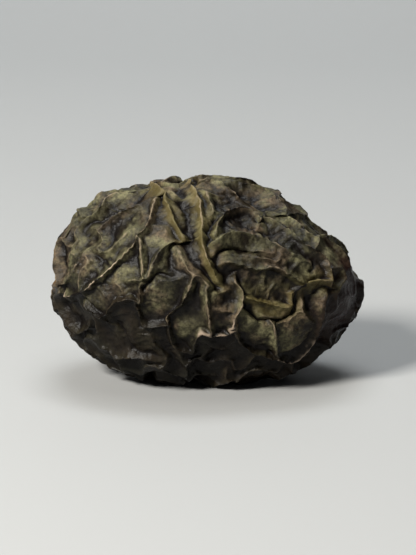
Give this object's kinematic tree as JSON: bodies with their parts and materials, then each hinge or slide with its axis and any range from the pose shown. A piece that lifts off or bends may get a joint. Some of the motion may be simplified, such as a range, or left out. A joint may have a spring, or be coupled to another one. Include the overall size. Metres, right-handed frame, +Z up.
{
  "type": "date",
  "caption": "Whole dried date of a small, round, nearly black variety, lying on its side, with deeply wrinkled skin and a round scar at the stem end.",
  "frame": {"origin": "under the middle of the fruit, on the surface that it rests on", "axes": "+X along the fruit from the stem end to the tip, +Z up from the surface that it rests on"},
  "size_m": [0.034, 0.023, 0.0218],
  "materials": {
    "date_skin": "nearly black brown, wrinkled, satin with a matte grey-olive bloom on the raised skin and glossy tight places"
  },
  "bodies": {
    "root": {"date_fruit": "date_skin"}
  },
  "joints": []
}
